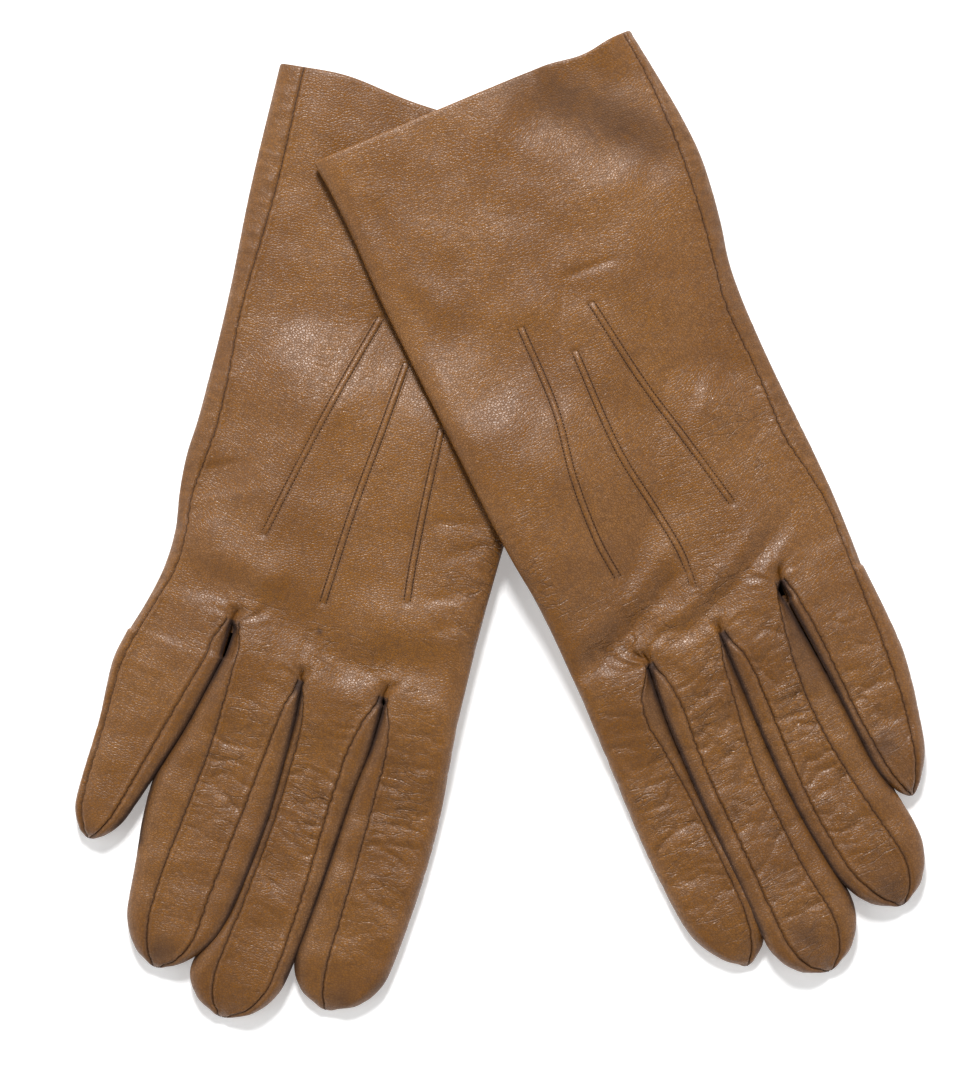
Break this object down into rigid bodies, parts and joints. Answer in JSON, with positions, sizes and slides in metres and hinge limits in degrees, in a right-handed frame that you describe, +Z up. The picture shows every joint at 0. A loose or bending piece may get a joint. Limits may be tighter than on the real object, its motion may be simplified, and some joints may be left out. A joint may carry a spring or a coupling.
{
  "type": "leather dress gloves",
  "caption": "Pair of unlined leather dress gloves lying palm down, one partly over the other, with open cuffs, fourchettes along the fingers and stitched points on the backs.",
  "frame": {"origin": "middle of the pair as it lies, on the surface it rests on", "axes": "+Z up, from the palms to the backs; +Y from the fingertips to the cuffs, along the pair as it lies; +X towards the left-hand glove"},
  "size_m": [0.246, 0.286, 0.0197],
  "materials": {
    "glove_leather": "tan grain leather, semi-gloss",
    "fourchette_leather": "tan grain leather, semi-gloss, slightly darker",
    "thread": "brown sewing thread, matt"
  },
  "bodies": {
    "right_hand": {"right_hand_back": "glove_leather", "right_hand_palm": "glove_leather", "right_side_seam_thread": "thread", "right_point_index_side": "thread", "right_point_middle": "thread", "right_point_little_side": "thread"},
    "right_index_finger": {"right_index_back": "glove_leather", "right_index_palm": "glove_leather", "right_index_little_side_thread": "thread", "right_index_little_side_fourchette": "fourchette_leather"},
    "right_middle_finger": {"right_middle_back": "glove_leather", "right_middle_palm": "glove_leather", "right_middle_little_side_thread": "thread", "right_middle_index_side_fourchette": "fourchette_leather", "right_middle_index_side_thread": "thread", "right_middle_little_side_fourchette": "fourchette_leather"},
    "right_ring_finger": {"right_ring_back": "glove_leather", "right_ring_palm": "glove_leather", "right_ring_little_side_thread": "thread", "right_ring_index_side_fourchette": "fourchette_leather", "right_ring_index_side_thread": "thread", "right_ring_little_side_fourchette": "fourchette_leather"},
    "right_little_finger": {"right_little_back": "glove_leather", "right_little_palm": "glove_leather", "right_little_little_side_thread": "thread", "right_little_index_side_fourchette": "fourchette_leather", "right_little_index_side_thread": "thread"},
    "right_thumb": {"right_thumb_inner": "glove_leather", "right_thumb_outer": "glove_leather"},
    "left_hand": {"left_hand_back": "glove_leather", "left_hand_palm": "glove_leather", "left_side_seam_thread": "thread", "left_point_index_side": "thread", "left_point_middle": "thread", "left_point_little_side": "thread"},
    "left_index_finger": {"left_index_back": "glove_leather", "left_index_palm": "glove_leather", "left_index_little_side_thread": "thread", "left_index_little_side_fourchette": "fourchette_leather"},
    "left_middle_finger": {"left_middle_back": "glove_leather", "left_middle_palm": "glove_leather", "left_middle_little_side_thread": "thread", "left_middle_index_side_fourchette": "fourchette_leather", "left_middle_index_side_thread": "thread", "left_middle_little_side_fourchette": "fourchette_leather"},
    "left_ring_finger": {"left_ring_back": "glove_leather", "left_ring_palm": "glove_leather", "left_ring_little_side_thread": "thread", "left_ring_index_side_fourchette": "fourchette_leather", "left_ring_index_side_thread": "thread", "left_ring_little_side_fourchette": "fourchette_leather"},
    "left_little_finger": {"left_little_back": "glove_leather", "left_little_palm": "glove_leather", "left_little_little_side_thread": "thread", "left_little_index_side_fourchette": "fourchette_leather", "left_little_index_side_thread": "thread"},
    "left_thumb": {"left_thumb_inner": "glove_leather", "left_thumb_outer": "glove_leather"}
  },
  "joints": [
    {"name": "right_index_fold", "type": "hinge", "parent": "right_hand", "child": "right_index_finger", "pos_m": [-0.02329, -0.05565, 0.0113], "axis": [-0.9588, 0.284, 0], "range_deg": [0, 60]},
    {"name": "right_middle_fold", "type": "hinge", "parent": "right_hand", "child": "right_middle_finger", "pos_m": [-0.04625, -0.04885, 0.0113], "axis": [-0.9588, 0.284, 0], "range_deg": [0, 60]},
    {"name": "right_ring_fold", "type": "hinge", "parent": "right_hand", "child": "right_ring_finger", "pos_m": [-0.06926, -0.04203, 0.0113], "axis": [-0.9588, 0.284, 0], "range_deg": [0, 60]},
    {"name": "right_little_fold", "type": "hinge", "parent": "right_hand", "child": "right_little_finger", "pos_m": [-0.09453, -0.03455, 0.00822], "axis": [-0.9588, 0.284, 0], "range_deg": [0, 60]},
    {"name": "right_thumb_swing", "type": "hinge", "parent": "right_hand", "child": "right_thumb", "pos_m": [-0.02522, 0.00541, 0.0017], "axis": [0, 0, 1], "range_deg": [-10, 50]},
    {"name": "left_index_fold", "type": "hinge", "parent": "left_hand", "child": "left_index_finger", "pos_m": [0.03352, -0.04595, 0.0113], "axis": [-0.9041, -0.4274, 0], "range_deg": [0, 60]},
    {"name": "left_middle_fold", "type": "hinge", "parent": "left_hand", "child": "left_middle_finger", "pos_m": [0.05395, -0.03629, 0.0113], "axis": [-0.9041, -0.4274, 0], "range_deg": [0, 60]},
    {"name": "left_ring_fold", "type": "hinge", "parent": "left_hand", "child": "left_ring_finger", "pos_m": [0.07415, -0.02674, 0.0113], "axis": [-0.9041, -0.4274, 0], "range_deg": [0, 60]},
    {"name": "left_little_fold", "type": "hinge", "parent": "left_hand", "child": "left_little_finger", "pos_m": [0.09486, -0.01696, 0.00859], "axis": [-0.9041, -0.4274, 0], "range_deg": [0, 60]},
    {"name": "left_thumb_swing", "type": "hinge", "parent": "left_hand", "child": "left_thumb", "pos_m": [0.02099, 0.01494, 0.0017], "axis": [0, 0, -1], "range_deg": [-10, 50]},
    {"name": "left_glove_lift", "type": "slide", "parent": "right_hand", "child": "left_hand", "axis": [0, 0, 1], "range_m": [0, 0.08]}
  ]
}
